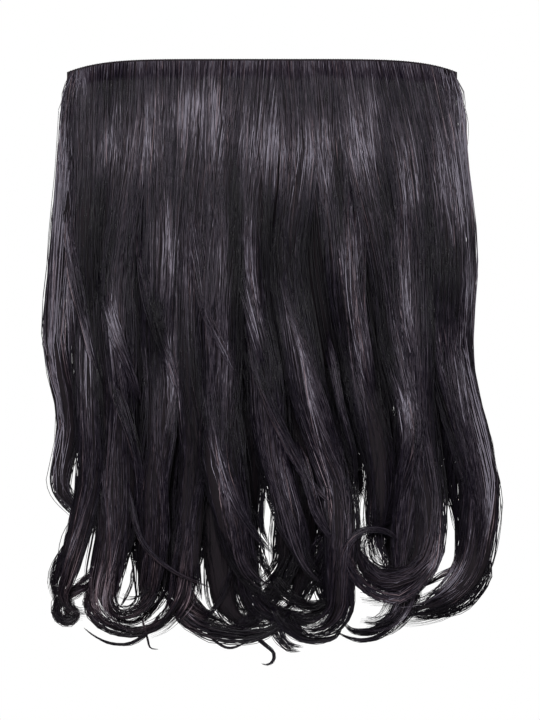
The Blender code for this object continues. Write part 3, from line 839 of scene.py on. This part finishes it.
def makeWisps(pieceName, rows, seed):
    # The strands of all rows in one piece, a little darker than the locks
    rng = np.random.default_rng(seed)
    groups = [wispStrands(count, halfWidth * mm, depth * mm, points, rng, -0.4)
              for name, count, halfWidth, depth, points in rows]
    makeStrands(pieceName, groups, rng)


# The waves' strands are painted lighter as highlights, the outer ones most
frontWave = {"top": 10 * mm, "bottom": 19 * mm, "between": (60 * mm, 250 * mm), "sink": 5 * mm,
             "rise": 7.3 * mm, "flat": 0.6, "shine": 1.2, "paintedDepthLight": 0.12}


def makeWaves(seed):
    # A wave's strands lie on the locks' front, which stands out by top near the seam and by bottom
    # from 250 mm down: flat * their own depth - the front + sink - rise * sin(pi s)^0.6, so that both
    # ends dip under the locks. The strands on its outer side are painted lighter, a painted highlight.
    rng = np.random.default_rng(seed)
    groups = []
    s = np.linspace(0, 1, strand["wispRings"])[None, :]
    rise = frontWave["rise"] * np.sin(math.pi * s) ** 0.6
    for name, count, halfWidth, points in waveRows:
        places, toneAndLight = wispStrands(count, halfWidth * mm, 0.0, points, rng, frontWave["shine"])
        out = -places[:, :, 1] / (halfWidth * mm)
        lower = smoothStep(-places[:, :, 2], *frontWave["between"])
        stand = frontWave["top"] + (frontWave["bottom"] - frontWave["top"]) * lower
        places[:, :, 1] = frontWave["flat"] * places[:, :, 1] - stand + frontWave["sink"] - rise
        groups.append((places, np.clip(toneAndLight + frontWave["paintedDepthLight"] * out, 0, 1)))
    makeStrands("front_waves", groups, rng)


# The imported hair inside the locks, and the flat layer of it that they lie on

core = {"around": 12, "rings": 36, "fill": 0.74, "curlFill": 0.9, "thin": 0.84, "end": 0.98}


def makeCores(name, lines, node):
    # For each lock an ellipse of fill times its half width and half depth, carried along its line;
    # the fill grows to curlFill in the curl, then thins to the core's end
    around, rings = core["around"], core["rings"]
    angle = np.arange(around) * 2 * math.pi / around
    points, faces = [], []
    for i, line in enumerate(lines):
        t = np.concatenate([np.linspace(0.004, line["curlStart"], rings // 2, endpoint=False),
                            np.linspace(line["curlStart"], core["end"], rings // 2)])[None, :]
        t = np.repeat(t, around, axis=0)
        fill = core["fill"] + (core["curlFill"] - core["fill"]) * smoothStep(t, 0.5, 0.75)
        fill = fill * (1 - 0.9 * smoothStep(t, core["thin"], core["end"]))
        grid = placeInLock(line, t, np.cos(angle)[:, None] * fill, np.sin(angle)[:, None] * fill)
        points.append(grid.transpose(1, 0, 2).reshape(-1, 3))
        first = i * rings * around
        walls = ringWalls(first, rings, around)
        caps = np.concatenate([ringCap(first, around, False),
                               ringCap(first + (rings - 1) * around, around, True)])
        if line["side"] > 0:  # out is the other way there, so the corners run the other way round
            walls, caps = walls[:, ::-1], caps[:, [0, 2, 1, 3]]
        faces += [walls, caps]
    dress(newMesh(name, np.concatenate(points), np.concatenate(faces), underMaterial), "hair", node)


layer = {
    "columns": 120, "rows": 4, "length": 215 * mm,
    "reach": 0.97,  # share of the track's width
    "seam": 2.2 * mm, "end": 1.1 * mm,  # its thickness
    "ripple": 0.2 * mm, "rippleWidth": 1.5 * mm,
}


def makePacked(name, side, start):
    # Outer face: x across, z from the seam to the layer's end, y the thickness (thinning downwards)
    # plus ripple * sin(x / rippleWidth). Inner face flat. A closed slab.
    x = np.linspace(-1, 1, layer["columns"] + 1)[None, :] * halfTrack * layer["reach"]
    down = np.linspace(0, 1, layer["rows"] + 1)[:, None]
    top = -seamDrop(x) - start
    z = top + (-layer["length"] - top) * down
    x = np.repeat(x, len(down), axis=0)
    thickness = layer["seam"] + (layer["end"] - layer["seam"]) * down
    thickness = thickness + layer["ripple"] * np.sin(x / layer["rippleWidth"])
    base = trackFront - form["gap"] if side < 0 else trackFront
    outer = np.stack([x, base + side * thickness, z], axis=-1)
    inner = np.stack([x, np.full_like(x, base), z], axis=-1)
    rows, columns = x.shape
    index = np.arange(rows * columns).reshape(rows, columns)
    corners = [index[:-1, :-1], index[1:, :-1], index[1:, 1:], index[:-1, 1:]]
    quads = np.stack(corners, axis=-1).reshape(-1, 4)
    back = quads[:, ::-1] + rows * columns
    rim = np.concatenate([index[0], index[1:, -1], index[-1, -2::-1], index[-2:0:-1, 0]])
    nextRim = np.roll(rim, -1)
    edge = np.stack([rim, nextRim, nextRim + rows * columns, rim + rows * columns], axis=-1)
    faces = np.concatenate([quads, back, edge])
    if side > 0:
        faces = faces[:, ::-1]
    points = np.concatenate([outer.reshape(-1, 3), inner.reshape(-1, 3)])
    dress(newMesh(name, points, faces, underMaterial), "hair")


makePacked("front_packed_hair", -1, form["rimHeight"])
makePacked("back_packed_hair", 1, form["trackHeight"] + form["gap"])
makeCores("front_cores", frontLines, "front_row")
makeCores("back_cores", backLines, "back_row")
print("packed hair and cores made")

makeRow("front", frontLines, strand["frontCount"], 11)
makeRow("back", backLines, strand["backCount"], 23)
makeWisps("curl_wisps", wispRows, 31)
makeWisps("edge_wisps", edgeRows, 37)
makeWaves(47)


# The track keeps its solid and gets its stitches

stitch = {
    "rimPitch": 1.7 * mm, "rimRadius": 0.22 * mm, "rimLift": 0.15 * mm, "rimReach": 0.985,
    "zigPitch": 2.6 * mm, "zigHeight": 3.0 * mm, "zigRadius": 0.2 * mm, "zigReach": 0.97,
    "zigDrop": 0.6 * mm,  # of their middle below the band's
    "turnPoints": 8,
}


def sewThread(name, x, y, z, radius):
    # A five-sided thread through the points
    path = np.stack([x, y, z], axis=-1)[None]
    sizes = np.full(path.shape[:2], radius)
    dress(tubes(name, path, sizes, 5, threadMaterial, np.array([[0.5]]), 1), "track")


def makeStitches():
    # Overcast thread: a flattened helix round the track's upper edge, one turn for each pitch
    reach = halfTrack * stitch["rimReach"]
    turns = int(2 * reach / stitch["rimPitch"])
    s = np.linspace(0, 1, turns * stitch["turnPoints"] + 1)
    angle = math.tau * turns * s
    x = (s * 2 - 1) * reach
    halfThick = (trackBack - trackFront) / 2 + stitch["rimLift"]
    y = (trackBack + trackFront) / 2 + halfThick * np.clip(1.25 * np.cos(angle), -1, 1)
    z = -seamDrop(x) - form["rimHeight"] / 2 + (form["rimHeight"] / 2 + stitch["rimLift"]) * np.sin(angle)
    sewThread("rim_stitches", x, y, z, stitch["rimRadius"])

    # A zigzag run on the track's back: y on its face, z a triangle wave between two heights
    reach = halfTrack * stitch["zigReach"]
    zigs = int(2 * reach / stitch["zigPitch"])
    n = np.arange(zigs * 2 + 1)
    x = (n / zigs - 1) * reach
    y = np.full_like(x, trackBack + stitch["zigRadius"] * 0.6)
    z = -seamDrop(x) - form["trackHeight"] / 2 - stitch["zigDrop"]
    sewThread("back_stitches", x, y, z + stitch["zigHeight"] / 2 * (n % 2 * 2 - 1), stitch["zigRadius"])


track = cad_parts["weft_track"]
track.data.materials.clear()
track.data.materials.append(bandMaterial)
makeStitches()
print("track and stitches made")


# Floor, light and camera

studio = {
    "floorZ": -0.62, "floorHalf": 1.15,
    "pixel": 0.7 * mm,  # size of one pixel of the view at the weft
    "viewHeight": 720, "lens": 150.0, "sightY": -8 * mm,
    "centreX": 5.6 * mm, "centreZ": -211.4 * mm,
    "lightColour": "#fdfcff",
    "softboxes": (  # name, place, width, height, power
        ("key_softbox", (-0.3, -1.5, 0.25), 0.8, 0.4, 33),
        ("fill_softbox", (1.2, -1.2, 0.1), 0.5, 0.9, 7),
        ("back_softbox", (0.4, 1.4, 0.3), 0.8, 0.5, 26),
    ),
    "skyGlow": 0.1,  # the sky's strength as a light, while it is white to look at
}


def makeStage():
    # A square floor board under the weft, painted matt white with a faint cloudiness
    board = patternedMaterial("mattPaintedBoard", "ShaderNodeTexNoise", {}, {"Scale": 6.0, "Detail": 2.0},
                              ((0.3, "#efefef"), (0.7, "#f4f4f4")), {"Roughness": 0.9})
    half, z = studio["floorHalf"], studio["floorZ"]
    points = np.array([(-half, -half, z), (half, -half, z), (half, half, z), (-half, half, z)])
    newMesh("floor_board", points, np.array([[0, 1, 2, 3]]), board)


def addLight(name, place, width, height, power):
    # A softbox that faces the middle of the hair
    data = bpy.data.lights.new(name, "AREA")
    data.shape = "RECTANGLE"
    data.size, data.size_y = width, height
    data.energy = power
    data.color = toLinear(studio["lightColour"])[:3]
    light = bpy.data.objects.new(name, data)
    light.location = place
    aim = Vector((studio["centreX"], 0.0, studio["centreZ"])) - Vector(place)
    light.rotation_euler = aim.to_track_quat("-Z", "Y").to_euler()
    bpy.context.scene.collection.objects.link(light)


makeStage()
for softbox in studio["softboxes"]:
    addLight(*softbox)

world = bpy.data.worlds.new("soft_white")
bpy.context.scene.world = world
world.use_nodes = True
sky = world.node_tree.nodes["Background"]
sky.inputs["Color"].default_value = toLinear("#ffffff")
lightPath = addNode(world.node_tree, "ShaderNodeLightPath")
seen = addNode(world.node_tree, "ShaderNodeMapRange", inputs={"To Min": studio["skyGlow"], "To Max": 1.0},
               links={"Value": (lightPath, "Is Camera Ray")})
world.node_tree.links.new(seen.outputs["Result"], sky.inputs["Strength"])
bpy.context.scene.view_settings.view_transform = "Standard"

cameraData = bpy.data.cameras.new("front_camera")
cameraData.lens = studio["lens"]
distance = studio["pixel"] * studio["viewHeight"] * cameraData.lens / cameraData.sensor_width
camera = bpy.data.objects.new("front_camera", cameraData)
camera.location = (studio["centreX"], studio["sightY"] - distance, studio["centreZ"])
camera.rotation_euler = (math.pi / 2, 0, 0)
cameraData.clip_end = 20
bpy.context.scene.collection.objects.link(camera)
bpy.context.scene.camera = camera
print("studio ready, camera", round(distance, 3), "m away")

pieces = [piece for piece in bpy.data.objects if piece.type == "MESH" and piece.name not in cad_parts]
triangles = {piece.name: sum(len(p.vertices) - 2 for p in piece.data.polygons) for piece in pieces}
print("triangles added:", triangles, "in all", sum(triangles.values()))
